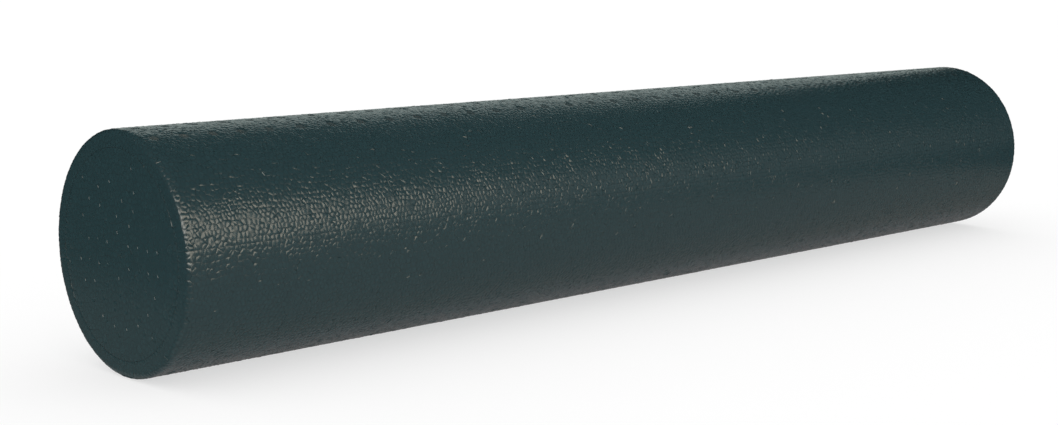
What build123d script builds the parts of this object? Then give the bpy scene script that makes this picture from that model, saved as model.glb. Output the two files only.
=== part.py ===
from build123d import *

import os

# A 36 by 6 inch foam roller, moulded from expanded-polypropylene beads.
# Millimetres. The origin is the roller's centre, +X runs along its axis and +Z is up.
# Angles round the axis start at the front (-Y) and rise over the crown (+Z).
#
# The roller is one moulding. Its zones are separate solids that meet face to face:
# a core of loosely packed beads, and the denser skin that formed against the mould,
# which is divided where the four pieces of the mould met: two barrel halves and two end plates.

LENGTH = 914.4
DIAMETER = 152.4
RIM_RADIUS = 4.0
SKIN = 1.2

# The ring on each end where the end plate met the barrel halves.
END_PLATE_DIAMETER = 130.0
END_RING_DEPTH = 0.5

# The crease along the barrel where the two halves of the mould met.
PARTING_ANGLE = 8.5
PARTING_DEPTH = 0.3

# Round marks that the steam vents left on each end: (ring radius, marks in the ring, mark diameter).
# The barrel is plain here, so that it rests and rolls evenly: its beads and its own vent marks,
# all under half a millimetre deep, are surface finish.
END_VENT_RINGS = ((14.0, 6, 3.0), (24.0, 10, 3.0), (34.5, 16, 3.0), (45.0, 20, 3.0), (58.0, 18, 6.0))
END_VENT_DEPTH = 0.4

RADIUS = DIAMETER / 2
HALF_LENGTH = LENGTH / 2
END_PLATE_RADIUS = END_PLATE_DIAMETER / 2
FRONT_SIDE = 0.0
BACK_SIDE = 180.0


def at_angle(angle):
    """The turn about the roller's axis that carries the front to an angle."""
    return Rot(-angle, 0, 0)


def rounded_roller(inset):
    """The roller's outer form, drawn in by an inset all over."""
    body = Cylinder(RADIUS - inset, LENGTH - 2 * inset, rotation=(0, 90, 0))
    return fillet(body.edges().filter_by(GeomType.CIRCLE), RIM_RADIUS - inset)


def disc_along_x(radius, thickness, x):
    """A disc across the axis, centred at x."""
    return Pos(x, 0, 0) * Cylinder(radius, thickness, rotation=(0, 90, 0))


def ring_edges(shape, x):
    """The circle of the end plate's size at x."""
    return (
        shape.edges()
        .filter_by(GeomType.CIRCLE)
        .filter_by(lambda edge: abs(edge.radius - END_PLATE_RADIUS) < 0.01)
        .filter_by(lambda edge: abs(edge.center().X - x) < 0.01)
    )


def end_vents(side):
    """The cutters for the rings of vent marks on one end."""
    cutters = []
    for ring_radius, count, diameter in END_VENT_RINGS:
        mark = disc_along_x(diameter / 2, 2 * END_VENT_DEPTH, side * HALF_LENGTH)
        step = 360 / count
        cutters += [at_angle(step * (i + 0.5)) * Pos(0, -ring_radius, 0) * mark for i in range(count)]
    return cutters


def parting_creases():
    """Two square bars, set on edge, whose corners cut the crease on the front and the back."""
    width = PARTING_DEPTH * 2**0.5
    bar = Pos(0, -RADIUS, 0) * Rot(45, 0, 0) * Box(LENGTH, width, width)
    return [at_angle(PARTING_ANGLE + side) * bar for side in (FRONT_SIDE, BACK_SIDE)]


def barrel_skin():
    """The whole barrel's skin, open at each end where the end plate was."""
    skin = rounded_roller(0) - rounded_roller(SKIN)
    for x in (-HALF_LENGTH, HALF_LENGTH):
        skin -= disc_along_x(END_PLATE_RADIUS, 4 * SKIN, x)
    for x in (-HALF_LENGTH, HALF_LENGTH):
        skin = chamfer(ring_edges(skin, x), END_RING_DEPTH)
    return skin - parting_creases()


def barrel_half(skin, side):
    """The half of the skin above the parting plane (side 1) or below it (side -1)."""
    half_space = Pos(0, 0, side * DIAMETER / 2) * Box(LENGTH + 10, 2 * DIAMETER, DIAMETER)
    return skin & at_angle(PARTING_ANGLE) * half_space


def end_skin(side):
    """The skin that formed against one end plate."""
    skin = disc_along_x(END_PLATE_RADIUS, SKIN, side * (HALF_LENGTH - SKIN / 2))
    skin = chamfer(ring_edges(skin, side * HALF_LENGTH), END_RING_DEPTH)
    return skin - end_vents(side)


whole_skin = barrel_skin()
nodes = {
    "bead_core": rounded_roller(SKIN),
    "upper_barrel_skin": barrel_half(whole_skin, 1),
    "lower_barrel_skin": barrel_half(whole_skin, -1),
    "left_end_skin": end_skin(-1),
    "right_end_skin": end_skin(1),
}

os.makedirs("parts", exist_ok=True)
for name, node in nodes.items():
    node.label = name
    export_step(node, f"parts/{name}.step")
    print(name, round(node.volume / 1000, 1), "cm3")
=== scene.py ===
"""Looks for the foam roller: a moulding of fused foam beads with a pebbled skin.

Metres, in the CAD model's frame: the origin is the roller's centre, +X runs along its axis
and +Z is up. Angles round the axis start at the front (-Y) and rise over the crown (+Z).
"""

import math
from collections import namedtuple

import bpy
import numpy as np
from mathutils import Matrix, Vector
from mathutils.geometry import delaunay_2d_cdt


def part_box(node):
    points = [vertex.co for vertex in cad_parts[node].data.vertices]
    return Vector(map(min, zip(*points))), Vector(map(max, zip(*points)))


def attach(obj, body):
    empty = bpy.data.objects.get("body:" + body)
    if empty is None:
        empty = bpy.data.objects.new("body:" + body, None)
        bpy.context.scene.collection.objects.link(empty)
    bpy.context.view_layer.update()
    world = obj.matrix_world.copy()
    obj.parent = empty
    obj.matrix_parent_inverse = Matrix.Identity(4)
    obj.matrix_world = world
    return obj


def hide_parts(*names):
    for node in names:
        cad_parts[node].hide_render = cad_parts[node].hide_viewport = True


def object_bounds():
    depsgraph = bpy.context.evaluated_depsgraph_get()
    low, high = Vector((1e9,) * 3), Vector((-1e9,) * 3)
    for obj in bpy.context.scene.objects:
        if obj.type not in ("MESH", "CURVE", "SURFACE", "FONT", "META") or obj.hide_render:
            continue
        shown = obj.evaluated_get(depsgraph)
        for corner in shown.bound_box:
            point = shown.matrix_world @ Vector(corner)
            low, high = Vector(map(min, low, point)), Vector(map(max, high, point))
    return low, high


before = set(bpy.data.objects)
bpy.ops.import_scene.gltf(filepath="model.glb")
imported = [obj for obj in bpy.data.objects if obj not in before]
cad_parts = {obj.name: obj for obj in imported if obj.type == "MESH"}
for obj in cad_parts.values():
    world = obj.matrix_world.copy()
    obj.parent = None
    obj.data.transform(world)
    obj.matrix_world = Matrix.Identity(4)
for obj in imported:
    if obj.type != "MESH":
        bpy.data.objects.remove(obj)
cad_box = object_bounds()

MM = 0.001

# The roller's sizes, from the CAD nodes. The rim's radius is the CAD model's.
upper_low, upper_high = (np.array(corner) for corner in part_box("upper_barrel_skin"))
plate_low, plate_high = (np.array(corner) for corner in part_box("left_end_skin"))
HALF_LENGTH = float(upper_high[0])
RADIUS = float(upper_high[2])
SKIN = float(plate_high[0] - plate_low[0])
END_PLATE_RADIUS = round(float(plate_high[1] - plate_low[1]) / 2, 4)
PARTING_ANGLE = math.asin(-float(upper_low[2]) / RADIUS)
RIM_RADIUS = 4.0 * MM

# The witness lines where the pieces of the mould met.
END_RING_DEPTH = 0.26 * MM
PARTING_DEPTH = 0.15 * MM

# Rows of vent marks on each half of the barrel, too shallow for the CAD model. The rows' offsets
# are degrees from the crease. A mark's dullness and painted shade go from 0, like a bead's top, to 1, like
# a crease.
BARREL_VENT_RADIUS = 3.3 * MM
UPPER_VENT_DEPTH, UPPER_VENT_PAINTED_SHADE_AND_DULLNESS = 0.335 * MM, 0.9
LOWER_VENT_DEPTH, LOWER_VENT_PAINTED_SHADE_AND_DULLNESS = 0.13 * MM, 0.25
VENT_ROW_OFFSETS = (62.5, 78.5, 101.5, 117.5)
MIDDLE_VENT_COUNT = 31
MIDDLE_VENT_PITCH = 24.24 * MM
OUTER_VENTS_EACH_END = 4
OUTER_VENT_PITCH = 20.5 * MM

# Rings of vent marks on each end, placed as in the CAD model: (ring radius, marks, mark radius,
# clear step). A step of 3 says that every third mark is clear, and that the others are faint.
END_VENT_RINGS = (
    (14.0 * MM, 6, 1.5 * MM, 1),
    (24.0 * MM, 10, 1.5 * MM, 1),
    (34.5 * MM, 16, 1.5 * MM, 1),
    (45.0 * MM, 20, 1.5 * MM, 1),
    (58.0 * MM, 18, 3.0 * MM, 3),
)
CLEAR_VENT_DEPTH = 0.16 * MM
FAINT_VENT_DEPTH = 0.06 * MM
# The end's marks get no dullness and no painted shade.
END_VENT_PAINTED_SHADE_AND_DULLNESS = 0.0

# The beads round a vent mark: the direction in the plane of the first, and the fewest there may be.
VENT_TURN = math.radians(20)
FEWEST_ROUND_VENT = 6

# The ribs that a vent's slots left on the floor of its mark, as shares of the floor's radius.
MANY_RIBS_FROM = 2 * MM
RIB_HALF_WIDTH = 0.11
RIB_PITCH = 0.52
RIB_LENGTH = 0.8
RIB_TOP_SIZE = 0.55
RIB_TOP_DEPTH = 0.35

# The beads: their spacing in each direction, and how far each may stray, as a share of it.
BEAD_ALONG = 3.0 * MM
BEAD_AROUND = 3.8 * MM
ROW_PITCH = BEAD_AROUND * math.sqrt(0.75)
BEAD_JITTER = 0.34

# The slow waves that bend the rows of beads: their lengths, how far each moves a bead, and how far
# from a rectangle's sides they have died away.
WAVE_COUNT = 6
WAVE_LENGTHS_IN_MM = (35, 80)
WAVE_REACH = 0.8 * MM
WAVE_FADE = 15.0 * MM

# How near a border a bead's centre may be, and how near it a centre is copied beyond it.
BARREL_MARGIN = 0.12 * BEAD_ALONG
END_MARGIN = 0.25 * BEAD_ALONG
COPIED_WITHIN = 3 * BEAD_AROUND

# A bead's ring, where its dome turns down to the creases: how far out it is, and its dullness and painted
# shade.
BEAD_RING = 0.7
RING_PAINTED_SHADE_AND_DULLNESS = 0.15

# How much a crease's depth may differ, as a share of it, and how much of the beads' relief is left
# on the flat flange beside each end ring.
CREASE_VARIETY = 0.6
FLANGE_RELIEF = 0.25

# Edges sharper than this, in degrees, are shaded sharp, and so are those in the creases, where the
# mesh's bead_crease is above the second value.
SHARP_ANGLE = 38
IN_CREASE = 0.99

# The spacing of the points on the skins' plain backs, and the steps of the barrel's round each rim.
BACK_GRID = 8.0 * MM
LONG_BACK_GRID = 3 * BACK_GRID
RIM_BACK_STEPS = 6

# How close two corners count as one, how near a side a corner is moved onto it, and how close two
# points are one to the triangulation, which works in millimetres.
SAME_CORNER = 1e-4 * MM
ON_SIDE = 1e-3 * MM
TRIANGLE_TOLERANCE_IN_MM = 1e-7


# How one area's beads and the walls of its vent marks are shaped. Depths are below the roller's
# true outer surface. The variety is how much a mark's depth may differ, as a share of it.
Bead = namedtuple("Bead", "dome crease tilt uneven pit_share pit_depth vent_wall vent_variety")

# One vent mark, with the dullness and painted shade of its floor.
Vent = namedtuple("Vent", "centre radius depth dullness")

BARREL_BEAD = Bead(
    dome=0.07 * MM,
    crease=0.165 * MM,
    tilt=0.06,
    uneven=0.02 * MM,
    pit_share=0.02,
    pit_depth=0.3 * MM,
    vent_wall=0.33 * MM,
    vent_variety=0.08,
)
END_BEAD = Bead(
    dome=0.012 * MM,
    crease=0.03 * MM,
    tilt=0.008,
    uneven=0.008 * MM,
    pit_share=0.01,
    pit_depth=0.3 * MM,
    vent_wall=0.15 * MM,
    vent_variety=0.45,
)


# ---------------------------------------------------------------- bead cells in the plane


def jittered_grid(low, high, rng):
    """Bead centres over a rectangle: rows staggered by half a step, each centre moved a little."""
    columns = int(round((high[0] - low[0]) / BEAD_ALONG))
    rows = int(round((high[1] - low[1]) / ROW_PITCH))
    step = np.array([(high[0] - low[0]) / columns, (high[1] - low[1]) / rows])
    i, j = np.meshgrid(np.arange(columns), np.arange(rows), indexing="ij")
    stagger = np.where(j % 2 == 0, 0.25, 0.75)
    centres = np.stack([i + stagger, j + 0.5], axis=-1).reshape(-1, 2)
    centres += rng.uniform(-BEAD_JITTER, BEAD_JITTER, centres.shape)
    return waved(np.array(low) + centres * step, np.array(low), np.array(high), rng)


def waved(centres, low, high, rng):
    """Bends the rows of centres with slow random waves, which die away at the rectangle's sides."""
    from_side = np.minimum(centres - low, high - centres).min(axis=1)
    fade = WAVE_REACH * np.clip(from_side / WAVE_FADE, 0, 1)
    moved = centres.copy()
    for _ in range(WAVE_COUNT):
        heading, push, phase = rng.uniform(0, 2 * math.pi, 3)
        pace = 2 * math.pi / (rng.uniform(*WAVE_LENGTHS_IN_MM) * MM)
        wave = np.sin(pace * (centres @ (math.cos(heading), math.sin(heading))) + phase)
        moved += (fade * wave)[:, None] * (math.cos(push), math.sin(push))
    return moved


def vent_neighbours(centre, radius):
    """The ring of beads round a vent mark, placed so that the mark's own cell is round."""
    count = max(FEWEST_ROUND_VENT, round(2 * math.pi * 2 * radius / BEAD_AROUND))
    angles = VENT_TURN + np.arange(count) * 2 * math.pi / count
    return centre + 2 * radius * np.stack([np.cos(angles), np.sin(angles)], axis=-1)


def with_vents(centres, vents):
    """Clears the beads from each vent mark, and sets its own centre and ring of beads.

    The ring is at twice the mark's radius, so that the mark's cell ends at its radius.
    """
    for vent in vents:
        clear = 2 * vent.radius + 0.5 * BEAD_AROUND
        centres = centres[np.hypot(*(centres - vent.centre).T) > clear]
    marks = np.array([vent.centre for vent in vents])
    rings = [vent_neighbours(vent.centre, vent.radius) for vent in vents]
    return np.concatenate([marks, *rings, centres])


def triangulate(points, edges=()):
    """Delaunay triangles over points in the plane, in the points' own order."""
    places = [Vector(p) for p in points / MM]
    found = delaunay_2d_cdt(places, list(edges), [], 0, TRIANGLE_TOLERANCE_IN_MM, True)
    triangles, point_ids = found[2], found[3]
    original = np.array([ids[0] for ids in point_ids])
    return original[np.array(triangles)]


def circumcentres(points, triangles):
    """The corners of the cells round the points: the centres of the triangles' circles."""
    a, b, c = (points[triangles[:, k]] for k in range(3))
    b, c = b - a, c - a
    twice = 2 * (b[:, 0] * c[:, 1] - b[:, 1] * c[:, 0])
    bb, cc = (b**2).sum(1), (c**2).sum(1)
    x = (c[:, 1] * bb - b[:, 1] * cc) / twice
    y = (b[:, 0] * cc - c[:, 0] * bb) / twice
    return a + np.stack([x, y], axis=-1)


class Cells:
    """The cells round a set of centres, each a ring of corners in order, as flat arrays.

    A run of rows shares one cell: row k says that corner corner[k] belongs to cell cell[k], and
    that the next corner round the cell is on row after[k]. The ghosts are centres beyond the
    border, whose own cells are left out. snap may move the corners.
    """

    def __init__(self, centres, ghosts, snap):
        # Corners that fall together are one.
        points = np.concatenate([centres, ghosts])
        triangles = triangulate(points)
        at = snap(circumcentres(points, triangles))
        key = np.round(at / SAME_CORNER).astype(np.int64)
        _, first, weld = np.unique(key, axis=0, return_index=True, return_inverse=True)

        # Each triangle gives its corner to three cells. Those of the ghosts are left out.
        cell = triangles.reshape(-1)
        corner = np.repeat(weld.reshape(-1), 3)
        kept = cell < len(centres)
        cell = cell[kept]
        used, corner = np.unique(corner[kept], return_inverse=True)
        self.centres, self.corners = centres, at[first][used]

        # Each cell's corners in order round it, and each of them once.
        away = self.corners[corner] - centres[cell]
        order = np.lexsort((np.arctan2(away[:, 1], away[:, 0]), cell))
        cell, corner = cell[order], corner[order]
        firsts, lasts = self.run_ends(cell)
        before = np.arange(len(cell)) - 1
        before[firsts] = lasts
        distinct = corner != corner[before]
        self.cell, self.corner = cell[distinct], corner[distinct]
        firsts, lasts = self.run_ends(self.cell)
        self.after = np.arange(len(self.cell)) + 1
        self.after[lasts] = firsts

    @staticmethod
    def run_ends(cell):
        """The first and the last row of each run of rows that share a cell."""
        firsts = np.flatnonzero(np.concatenate([[True], cell[1:] != cell[:-1]]))
        return firsts, np.concatenate([firsts[1:], [len(cell)]]) - 1

    def border(self):
        """The directed edges, as pairs of corners, that only one cell has."""
        a, b = self.corner, self.corner[self.after]
        size = len(self.corners)
        lone = ~np.isin(a * size + b, b * size + a)
        return np.stack([a[lone], b[lone]], axis=-1)


# ---------------------------------------------------------------- from cells to a mesh


class Skin:
    """Collects a skin's vertices, faces and bead marks, then makes its Blender object."""

    def __init__(self):
        self.points, self.heights, self.tones, self.creases = [], [], [], []
        self.faces, self.count = [], 0

    def add(self, points, heights, tone, crease):
        """Adds vertices at places in the plane, and returns their numbers."""
        numbers = np.arange(len(points)) + self.count
        self.count += len(points)
        self.points.append(points)
        self.heights.append(np.broadcast_to(heights, len(points)))
        self.tones.append(np.broadcast_to(tone, len(points)))
        self.creases.append(np.broadcast_to(crease, len(points)))
        return numbers

    def join(self, *columns):
        """Adds one face for each row of the columns of vertex numbers."""
        self.faces += np.stack(columns, axis=-1).tolist()

    def build(self, name, place):
        """Makes the object. place turns points in the plane and heights into space."""
        mesh = bpy.data.meshes.new(name)
        spots = place(np.concatenate(self.points), np.concatenate(self.heights))
        mesh.from_pydata(spots.tolist(), [], self.faces)
        for label, values in (("bead_tone", self.tones), ("bead_crease", self.creases)):
            mark = mesh.attributes.new(label, "FLOAT", "POINT")
            mark.data.foreach_set("value", np.concatenate(values).astype(np.float32))
        mesh.shade_smooth()
        mesh.set_sharp_from_angle(angle=math.radians(SHARP_ANGLE))
        ends = np.empty(2 * len(mesh.edges), dtype=np.int32)
        mesh.edges.foreach_get("vertices", ends)
        in_crease = np.concatenate(self.creases)[ends.reshape(-1, 2)].min(axis=1) > IN_CREASE
        sharp = np.empty(len(mesh.edges), dtype=bool)
        mesh.attributes["sharp_edge"].data.foreach_get("value", sharp)
        mesh.attributes["sharp_edge"].data.foreach_set("value", sharp | in_crease)
        mesh.validate()
        piece = bpy.data.objects.new(name, mesh)
        bpy.context.scene.collection.objects.link(piece)
        return piece


def even_relief(points):
    """The beads' full relief everywhere."""
    return np.ones(len(points))


def add_beads(skin, cells, vents, bead, relief, edge_depth, rng):
    """The outer side: a domed bead in each cell, creases between them, and the vent marks.

    The first cells are the vent marks' own. relief says how much of the beads' full relief there
    is at places in the plane, and edge_depth how deep the corners on the border lie. It returns
    the numbers of the vertices at the cells' corners.
    """
    count, marks = len(cells.centres), len(vents)
    cell, corner, after = cells.cell, cells.corner, cells.after
    tone = rng.uniform(0, 1, count)
    top = rng.normal(0, bead.uneven, count)
    slope = rng.normal(0, bead.tilt, (count, 2))
    crease = bead.crease * rng.uniform(1 - CREASE_VARIETY, 1 + CREASE_VARIETY, len(cells.corners))
    crease += bead.pit_depth * (rng.uniform(0, 1, len(cells.corners)) < bead.pit_share)
    crease *= relief(cells.corners)
    crease[cells.border().reshape(-1)] = edge_depth
    top *= relief(cells.centres)
    mark_radius = np.array([vent.radius for vent in vents])
    mark_painted_shade_and_dullness = np.array([vent.dullness for vent in vents])
    mark_depth = np.array([vent.depth for vent in vents])
    mark_depth *= rng.uniform(1 - bead.vent_variety, 1 + bead.vent_variety, marks)
    floor_share = 1 - bead.vent_wall / mark_radius

    centre_at = skin.add(cells.centres[marks:], top[marks:], tone[marks:], 0.0)
    # The corners sit in the creases, with the full dullness and painted shade.
    corner_at = skin.add(cells.corners, -crease, 0.5, 1.0)
    out = cells.corners[corner] - cells.centres[cell]
    plain = cell >= marks
    mark_of = np.minimum(cell, marks - 1)
    share = np.where(plain, BEAD_RING, floor_share[mark_of])
    ring = cells.centres[cell] + share[:, None] * out
    fall = top[cell] + ((slope[cell] * out).sum(1) * BEAD_RING - bead.dome) * relief(ring)
    ring_height = np.where(plain, fall, -mark_depth[mark_of])
    # The rings and the vent floors take their own dullness and painted shade.
    ring_painted_shade_and_dullness = np.where(plain, RING_PAINTED_SHADE_AND_DULLNESS, mark_painted_shade_and_dullness[mark_of])
    ring_at = skin.add(ring, ring_height, tone[cell], ring_painted_shade_and_dullness)
    skin.join(ring_at, corner_at[corner], corner_at[corner[after]], ring_at[after])
    skin.join(centre_at[cell[plain] - marks], ring_at[plain], ring_at[after][plain])
    for mark, vent in enumerate(vents):
        around = cell == mark
        floor = vent._replace(radius=vent.radius - bead.vent_wall, depth=mark_depth[mark])
        add_vent_floor(skin, floor, ring_at[around], ring[around])
    return corner_at


def add_vent_floor(skin, vent, rim_at, rim):
    """The floor of one vent mark, inside its rim, with the ribs that the vent's slots left."""
    centre, radius, depth, dullness = vent
    rib_count = 3 if radius > MANY_RIBS_FROM else 1
    half_width = RIB_HALF_WIDTH * radius
    points, heights, edges = [*rim], [-depth] * len(rim), []
    for k in range(rib_count):
        middle = (k - (rib_count - 1) / 2) * RIB_PITCH * radius
        half_length = RIB_LENGTH * math.sqrt(radius**2 - (abs(middle) + half_width) ** 2)
        for size, height in ((1.0, -depth), (RIB_TOP_SIZE, -RIB_TOP_DEPTH * depth)):
            reach, spread = half_length - (1 - size) * half_width, half_width * size
            first = len(points)
            box = ((-reach, -spread), (reach, -spread), (reach, spread), (-reach, spread))
            points += [centre + np.array([x, middle + y]) for x, y in box]
            heights += [height] * 4
            edges += [(first + i, first + (i + 1) % 4) for i in range(4)]
    points, heights = np.array(points), np.array(heights)
    triangles = triangulate(points, edges)
    # The floor and its ribs take the mark's dullness and painted shade.
    inside_at = skin.add(points[len(rim) :], heights[len(rim) :], 0.5, dullness)
    numbers = np.concatenate([rim_at, inside_at])
    skin.join(*numbers[triangles].T)


def close_back(skin, cells, corner_at, inner_points):
    """Closes the skin with a plain back, one thickness below the surface, and its edge walls."""
    border = cells.border()
    rim = np.unique(border)
    rim_back_at = np.full(len(cells.corners), -1)
    rim_back_at[rim] = skin.add(cells.corners[rim], -SKIN, 0.5, 0.5)
    a, b = border.T
    skin.join(corner_at[b], corner_at[a], rim_back_at[a], rim_back_at[b])
    place = np.full(len(cells.corners), -1)
    place[rim] = np.arange(len(rim))
    inner_at = skin.add(inner_points, -SKIN, 0.5, 0.5)
    numbers = np.concatenate([rim_back_at[rim], inner_at])
    points = np.concatenate([cells.corners[rim], inner_points])
    triangles = triangulate(points, [tuple(pair) for pair in place[border].tolist()])
    skin.join(*numbers[triangles[:, ::-1]].T)


# ---------------------------------------------------------------- the barrel halves

FLANGE = RADIUS - RIM_RADIUS - END_PLATE_RADIUS
RIM_ARC = RIM_RADIUS * math.pi / 2
STRAIGHT = 2 * (HALF_LENGTH - RIM_RADIUS)
PROFILE = 2 * (FLANGE + RIM_ARC) + STRAIGHT
HALF_TURN = math.pi * RADIUS


def profile(along):
    """The barrel's line, from one end ring to the other, at distances along it.

    It returns x, the distance from the axis, and the outward direction's two parts.
    """
    side = np.where(along < PROFILE / 2, -1.0, 1.0)
    d = np.minimum(along, PROFILE - along)
    turn = np.clip((d - FLANGE) / RIM_RADIUS, 0, math.pi / 2)
    inward, outward = np.cos(turn), np.sin(turn)
    x = HALF_LENGTH - RIM_RADIUS * (1 - inward) - np.maximum(d - FLANGE - RIM_ARC, 0)
    r = END_PLATE_RADIUS + np.minimum(d, FLANGE) + RIM_RADIUS * outward
    return side * x, r, side * inward, outward


def barrel_relief(points):
    """Little relief on the flat flange beside an end ring, and all of it from halfway round the rim."""
    from_ring = np.minimum(points[:, 0], PROFILE - points[:, 0])
    return np.interp(from_ring, (FLANGE, FLANGE + RIM_ARC / 2), (FLANGE_RELIEF, 1.0))


def barrel_place(start_angle):
    """Rolls the plane of one barrel half round the axis from an angle."""

    def place(points, heights):
        x, r, out_x, out_r = profile(points[:, 0])
        angle = start_angle + points[:, 1] / RADIUS
        x, r = x + heights * out_x, r + heights * out_r
        return np.stack([x, -r * np.cos(angle), r * np.sin(angle)], axis=-1)

    return place


def barrel_vents(mirrored):
    """The vent marks of one barrel half, in its plane. The lower half's rows mirror the upper's."""
    first = -MIDDLE_VENT_PITCH * (MIDDLE_VENT_COUNT - 1) / 2
    places = [first + MIDDLE_VENT_PITCH * i for i in range(MIDDLE_VENT_COUNT)]
    outer = [first - OUTER_VENT_PITCH * (i + 1) for i in range(OUTER_VENTS_EACH_END)]
    places = outer + places + [-x for x in outer]
    rows = [math.radians(offset) * RADIUS for offset in VENT_ROW_OFFSETS]
    # The upper rows' marks are deeper, and have more dullness and painted shade, than the lower ones.
    depth, dullness = UPPER_VENT_DEPTH, UPPER_VENT_PAINTED_SHADE_AND_DULLNESS
    if mirrored:
        rows = [HALF_TURN - row for row in rows]
        depth, dullness = LOWER_VENT_DEPTH, LOWER_VENT_PAINTED_SHADE_AND_DULLNESS
    spots = [np.array([x + PROFILE / 2, row]) for row in rows for x in places]
    return [Vent(spot, BARREL_VENT_RADIUS, depth, dullness) for spot in spots]


def mirrored_in_box(centres, high, reach):
    """The centres, then copies of those near a rectangle's sides, mirrored in them.

    The copies make the cells of the centres end at the sides.
    """
    for axis in (0, 1):
        near_low = centres[centres[:, axis] < reach].copy()
        near_high = centres[centres[:, axis] > high[axis] - reach].copy()
        near_low[:, axis] *= -1
        near_high[:, axis] = 2 * high[axis] - near_high[:, axis]
        centres = np.concatenate([centres, near_low, near_high])
    return centres


def snap_to_box(high):
    """Puts corners that lie on a rectangle's sides exactly there."""

    def snap(corners):
        for axis in (0, 1):
            for value in (0.0, high[axis]):
                near = np.abs(corners[:, axis] - value) < ON_SIDE
                corners[near, axis] = value
        return corners

    return snap


def make_barrel_half(name, start_angle, mirrored, seed):
    """One half of the barrel's skin, from a start angle half a turn on."""
    rng = np.random.default_rng(seed)
    high = np.array([PROFILE, HALF_TURN])
    vents = barrel_vents(mirrored)
    centres = jittered_grid((0, 0), high, rng)
    centres = np.clip(centres, BARREL_MARGIN, high - BARREL_MARGIN)
    centres = with_vents(centres, vents)
    ghosts = mirrored_in_box(centres, high, COPIED_WITHIN)[len(centres) :]
    cells = Cells(centres, ghosts, snap_to_box(high))
    skin = Skin()
    on_ring = (cells.corners[:, 0] <= 0) | (cells.corners[:, 0] >= PROFILE)
    edge_depth = np.where(on_ring, END_RING_DEPTH, PARTING_DEPTH)[cells.border().reshape(-1)]
    corner_at = add_beads(skin, cells, vents, BARREL_BEAD, barrel_relief, edge_depth, rng)
    rims = np.linspace(0, FLANGE + RIM_ARC, RIM_BACK_STEPS + 1)[1:]
    middle = np.arange(rims[-1] + BACK_GRID, PROFILE - rims[-1] - BACK_GRID / 2, LONG_BACK_GRID)
    along = np.concatenate([rims, middle, PROFILE - rims[::-1]])
    around = np.arange(BACK_GRID, HALF_TURN - BACK_GRID / 2, BACK_GRID)
    grid = np.stack(np.meshgrid(along, around, indexing="ij"), axis=-1).reshape(-1, 2)
    close_back(skin, cells, corner_at, grid)
    return skin.build(name, barrel_place(start_angle))


# ---------------------------------------------------------------- the ends


def end_place(side):
    """Stands the plane of one end up, facing out from the roller."""

    def place(points, heights):
        x = side * (HALF_LENGTH + heights)
        return np.stack([x, side * points[:, 0], points[:, 1]], axis=-1)

    return place


def end_vents(side):
    """The vent marks of one end, in its plane."""
    vents = []
    for ring_radius, count, mark_radius, clear_step in END_VENT_RINGS:
        for i in range(count):
            angle = (i + 0.5) * 2 * math.pi / count
            spot = np.array([-side * ring_radius * math.cos(angle), ring_radius * math.sin(angle)])
            depth = FAINT_VENT_DEPTH if i % clear_step else CLEAR_VENT_DEPTH
            vents.append(Vent(spot, mark_radius, depth, END_VENT_PAINTED_SHADE_AND_DULLNESS))
    return vents


def as_found(corners):
    """Leaves the corners where they are."""
    return corners


def round_off(cells):
    """Puts the corners on the outer border of the cells exactly on the end plate's edge."""
    rim = np.unique(cells.border())
    reach = np.hypot(*cells.corners[rim].T)
    cells.corners[rim] *= (END_PLATE_RADIUS / reach)[:, None]


def make_end(name, side, seed):
    """The skin of the end at side -1 or 1 along the axis."""
    rng = np.random.default_rng(seed)
    vents = end_vents(side)
    reach = END_PLATE_RADIUS
    centres = jittered_grid((-reach, -reach), (reach, reach), rng)
    away = np.hypot(*centres.T)
    centres = centres[away < reach - END_MARGIN]
    centres = with_vents(centres, vents)
    away = np.hypot(*centres.T)
    near = away > reach - COPIED_WITHIN
    ghosts = centres[near] * ((2 * reach - away[near]) / away[near])[:, None]
    cells = Cells(centres, ghosts, as_found)
    round_off(cells)
    skin = Skin()
    corner_at = add_beads(skin, cells, vents, END_BEAD, even_relief, END_RING_DEPTH, rng)
    rings = np.arange(BACK_GRID, reach - BACK_GRID / 2, BACK_GRID)
    grid = [(0.0, 0.0)]
    for ring in rings:
        count = round(2 * math.pi * ring / BACK_GRID)
        angles = np.arange(count) * 2 * math.pi / count
        grid += list(zip(ring * np.cos(angles), ring * np.sin(angles)))
    close_back(skin, cells, corner_at, np.array(grid))
    return skin.build(name, end_place(side))


# ---------------------------------------------------------------- materials

BLACK_TEAL = (0.0188, 0.0455, 0.0508)

# Shades of it: the darkest and the lightest bead, the clouds and how far they show, painted shade
# in the creases and vent marks, and a foam bead's painted shading at its middle and its edge.
BEAD_SHADES = (0.93, 1.07)
CLOUD_SHADE = 0.85
CLOUD_SHARE = 0.35
PAINTED_CREASE_SHADE = 0.8
CORE_PAINTED_SHADES = (1.1, 0.7)

# Noise: its scale in features per metre, and its detail.
CLOUD_NOISE = (14, 3.0)
GLOSS_NOISE = (900, 2.0)
GRAIN_NOISE = (1600, 3.0)

# The skin's least and most roughness and what a crease adds, its grain, and the foam inside.
SKIN_ROUGHNESS = (0.15, 0.29)
CREASE_ROUGHNESS = 0.1
SKIN_IOR = 1.49
GRAIN_STRENGTH = 0.5
GRAIN_DEPTH = 0.03 * MM
CORE_ROUGHNESS = 0.75
CORE_BEAD_DEPTH = 0.4 * MM


def new_material(name):
    """A material with its nodes, its links and its shader."""
    material = bpy.data.materials.new(name)
    material.use_nodes = True
    nodes, links = material.node_tree.nodes, material.node_tree.links
    return material, nodes, links, nodes["Principled BSDF"]


def scaled(colour, factor):
    """A colour made lighter or darker, with its alpha."""
    return (*(value * factor for value in colour), 1.0)


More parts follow.
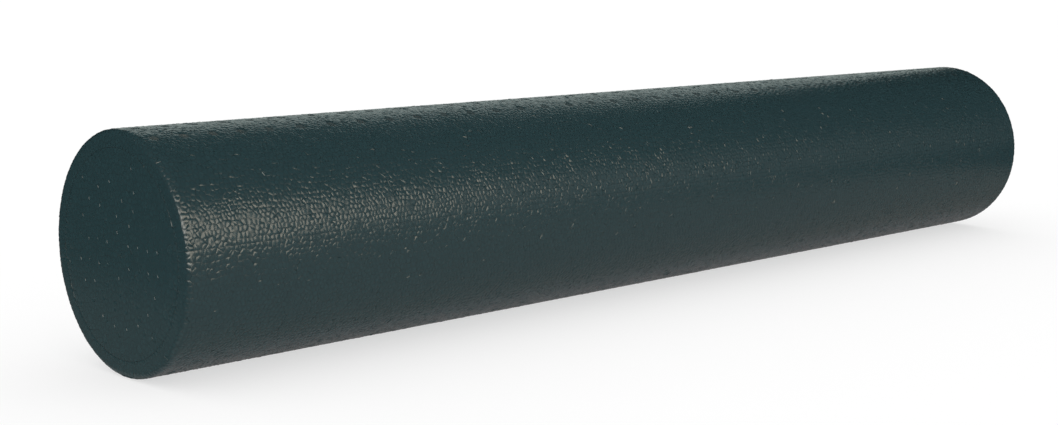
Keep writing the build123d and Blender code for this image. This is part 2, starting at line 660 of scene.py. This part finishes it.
def noise(nodes, links, scale, detail):
    """Noise in the object's own space, with its scale in features per metre."""
    place = nodes.new("ShaderNodeTexCoord")
    texture = nodes.new("ShaderNodeTexNoise")
    texture.inputs["Scale"].default_value = scale
    texture.inputs["Detail"].default_value = detail
    links.new(place.outputs["Object"], texture.inputs["Vector"])
    return texture.outputs["Fac"]


def ranged(nodes, links, value, low, high):
    """A value from 0 to 1, spread between two others."""
    change = nodes.new("ShaderNodeMapRange")
    change.inputs["To Min"].default_value = low
    change.inputs["To Max"].default_value = high
    links.new(value, change.inputs["Value"])
    return change.outputs["Result"]


def mixed(nodes, links, factor, first, second):
    """A colour between two others, each a colour or a socket."""
    mix = nodes.new("ShaderNodeMix")
    mix.data_type = "RGBA"
    links.new(factor, mix.inputs["Factor"])
    for socket, colour in ((mix.inputs[6], first), (mix.inputs[7], second)):
        if isinstance(colour, tuple):
            socket.default_value = colour
        else:
            links.new(colour, socket)
    return mix.outputs[2]


def added(nodes, links, first, second):
    """The sum of two values."""
    node = nodes.new("ShaderNodeMath")
    node.operation = "ADD"
    links.new(first, node.inputs[0])
    links.new(second, node.inputs[1])
    return node.outputs[0]


def attribute(nodes, name):
    """A value that the mesh carries at each vertex."""
    node = nodes.new("ShaderNodeAttribute")
    node.attribute_name = name
    return node.outputs["Fac"]


def skin_material():
    """Dark teal-black bead foam: own shade per bead, satin on top, rough with painted shade in creases."""
    material, nodes, links, shader = new_material("moulded_skin")
    tone, crease = attribute(nodes, "bead_tone"), attribute(nodes, "bead_crease")
    bead = mixed(nodes, links, tone, *(scaled(BLACK_TEAL, shade) for shade in BEAD_SHADES))
    cloud = ranged(nodes, links, noise(nodes, links, *CLOUD_NOISE), 0.0, CLOUD_SHARE)
    bead = mixed(nodes, links, cloud, bead, scaled(BLACK_TEAL, CLOUD_SHADE))
    # Painted shade: darker in the creases, bead rings and vent marks, as far as the mesh's bead_crease
    # goes.
    colour = mixed(nodes, links, crease, bead, scaled(BLACK_TEAL, PAINTED_CREASE_SHADE))
    links.new(colour, shader.inputs["Base Color"])
    rough = ranged(nodes, links, noise(nodes, links, *GLOSS_NOISE), *SKIN_ROUGHNESS)
    rough = added(nodes, links, rough, ranged(nodes, links, crease, 0.0, CREASE_ROUGHNESS))
    links.new(rough, shader.inputs["Roughness"])
    shader.inputs["IOR"].default_value = SKIN_IOR
    bump = nodes.new("ShaderNodeBump")
    bump.inputs["Strength"].default_value = GRAIN_STRENGTH
    bump.inputs["Distance"].default_value = GRAIN_DEPTH
    links.new(noise(nodes, links, *GRAIN_NOISE), bump.inputs["Height"])
    links.new(bump.outputs["Normal"], shader.inputs["Normal"])
    return material


def core_material():
    """The foam inside: the same beads, matte and never flattened by the mould."""
    material, nodes, links, shader = new_material("bead_foam")
    place = nodes.new("ShaderNodeTexCoord")
    beads = nodes.new("ShaderNodeTexVoronoi")
    beads.inputs["Scale"].default_value = 1 / BEAD_AROUND
    links.new(place.outputs["Object"], beads.inputs["Vector"])
    spread = ranged(nodes, links, beads.outputs["Distance"], 0.0, 1.0)
    # Painted shade: each bead lighter at its middle and darker towards the gaps between beads.
    colour = mixed(nodes, links, spread, *(scaled(BLACK_TEAL, shade) for shade in CORE_PAINTED_SHADES))
    links.new(colour, shader.inputs["Base Color"])
    shader.inputs["Roughness"].default_value = CORE_ROUGHNESS
    bump = nodes.new("ShaderNodeBump")
    bump.invert = True
    bump.inputs["Distance"].default_value = CORE_BEAD_DEPTH
    links.new(beads.outputs["Distance"], bump.inputs["Height"])
    links.new(bump.outputs["Normal"], shader.inputs["Normal"])
    return material


def paint(node, material):
    """Gives a CAD node that stays a material."""
    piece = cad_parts[node]
    for slot in piece.material_slots:
        slot.material = material


# ---------------------------------------------------------------- studio

FLOOR_Z = float(cad_box[0][2])
FLOOR_HALF_WIDTH = 60.0
FLOOR_GREY = 0.34
FLOOR_GLOW = 0.64
GLOW_CLEARANCE = 2 * MM
WORLD_STRENGTH = 1.1
WHITE = (1.0, 1.0, 1.0, 1.0)

CAMERA_AT = Vector((-0.9630, -0.8759, 0.1699))
CAMERA_LOOKS_AT = Vector((-0.1140, 0.0000, -0.0101))
CAMERA_LENS = 56.28
CAMERA_SENSOR_WIDTH = 36.0
CAMERA_SHIFT = (0.0006, 0.0012)
CAMERA_SEES_TO = 200.0


def add_camera():
    """The camera, in front and to the left of the roller and a little above it."""
    data = bpy.data.cameras.new("camera")
    data.lens = CAMERA_LENS
    data.sensor_width = CAMERA_SENSOR_WIDTH
    data.shift_x, data.shift_y = CAMERA_SHIFT
    data.clip_end = CAMERA_SEES_TO
    camera = bpy.data.objects.new("camera", data)
    camera.location = CAMERA_AT
    camera.rotation_euler = (CAMERA_LOOKS_AT - CAMERA_AT).to_track_quat("-Z", "Y").to_euler()
    bpy.context.scene.collection.objects.link(camera)
    bpy.context.scene.camera = camera


def add_panel(name, at, towards, size, radiance, colour):
    """A soft rectangular lamp of a given brightness per area, which shows only in glossy surfaces."""
    data = bpy.data.lights.new(name, "AREA")
    data.shape = "RECTANGLE"
    data.size, data.size_y = size
    data.energy = radiance * math.pi * size[0] * size[1]
    data.color = colour
    lamp = bpy.data.objects.new(name, data)
    lamp.location = at
    lamp.rotation_euler = (Vector(towards) - Vector(at)).to_track_quat("-Z", "Y").to_euler()
    lamp.visible_camera = False
    lamp.visible_diffuse = False
    bpy.context.scene.collection.objects.link(lamp)


def add_floor_glow(name, x, y, size, radiance, colour):
    """A panel that lies just above the floor and faces up."""
    height = FLOOR_Z + GLOW_CLEARANCE
    add_panel(name, (x, y, height), (x, y, height + 1), size, radiance, colour)


def add_world():
    """Even white light from all round, which doesn't show in glossy surfaces."""
    world = bpy.data.worlds.new("studio")
    bpy.context.scene.world = world
    world.use_nodes = True
    light = world.node_tree.nodes["Background"]
    light.inputs["Color"].default_value = WHITE
    light.inputs["Strength"].default_value = WORLD_STRENGTH
    world.cycles_visibility.glossy = False


def add_floor():
    """A pale floor under the roller, out to the horizon."""
    mesh = bpy.data.meshes.new("floor")
    signs = ((-1, -1), (1, -1), (1, 1), (-1, 1))
    corners = [(x * FLOOR_HALF_WIDTH, y * FLOOR_HALF_WIDTH, FLOOR_Z) for x, y in signs]
    mesh.from_pydata(corners, [], [(0, 1, 2, 3)])
    floor = bpy.data.objects.new("floor", mesh)
    material, _, _, shader = new_material("pale_floor")
    shader.inputs["Base Color"].default_value = (FLOOR_GREY, FLOOR_GREY, FLOOR_GREY, 1.0)
    shader.inputs["Roughness"].default_value = 1.0
    shader.inputs["Specular IOR Level"].default_value = 0.0
    shader.inputs["Emission Color"].default_value = WHITE
    shader.inputs["Emission Strength"].default_value = FLOOR_GLOW
    material.cycles.emission_sampling = "NONE"
    mesh.materials.append(material)
    floor.visible_glossy = False
    bpy.context.scene.collection.objects.link(floor)


def add_lights():
    """The panels whose reflections make the roller's glints and its soft sheen."""
    add_panel("key_softbox", (-0.525, -1.8, 0.73), (-0.525, 0.0, 0.0), (2.55, 0.94), 4.9, (1.0, 0.87, 0.7))
    add_panel("left_softbox", (-2.3, -1.1, 0.7), (-0.45, 0.0, 0.0), (1.6, 0.8), 7.6, (1.0, 0.94, 0.84))
    add_floor_glow("left_front_floor_glow", -0.92, -0.9, (0.8, 1.1), 0.6, (1.0, 0.88, 0.76))
    add_panel("side_glow", (1.85, -1.8, 0.62), (1.85, 0.0, 0.4), (2.2, 1.24), 0.3, (1.0, 0.95, 0.9))
    add_panel("back_glow", (2.06, 2.5, 1.05), (0.1, 0.0, 0.0), (2.95, 2.05), 0.68, (0.87, 1.0, 0.95))
    add_floor_glow("front_floor_glow", 0.065, -0.78, (1.11, 1.46), 0.25, (1.0, 0.86, 0.78))
    add_floor_glow("back_floor_glow", 1.78, 1.2, (4.48, 2.5), 0.28, (1.0, 0.93, 0.92))
    add_floor_glow("left_floor_glow", -0.53, 0.2, (0.14, 0.8), 0.13, (1.0, 0.93, 0.85))


# ---------------------------------------------------------------- the model

add_camera()
add_world()
add_floor()
add_lights()
bpy.context.scene.view_settings.view_transform = "Standard"

skins = {
    "upper_barrel_skin": make_barrel_half("upper_skin", PARTING_ANGLE, mirrored=False, seed=11),
    "lower_barrel_skin": make_barrel_half("lower_skin", PARTING_ANGLE - math.pi, mirrored=True, seed=23),
    "left_end_skin": make_end("left_end", side=-1, seed=37),
    "right_end_skin": make_end("right_end", side=1, seed=41),
}
skin_look = skin_material()
for node, piece in skins.items():
    piece.data.materials.append(skin_look)
    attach(piece, "root")
    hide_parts(node)
paint("bead_core", core_material())
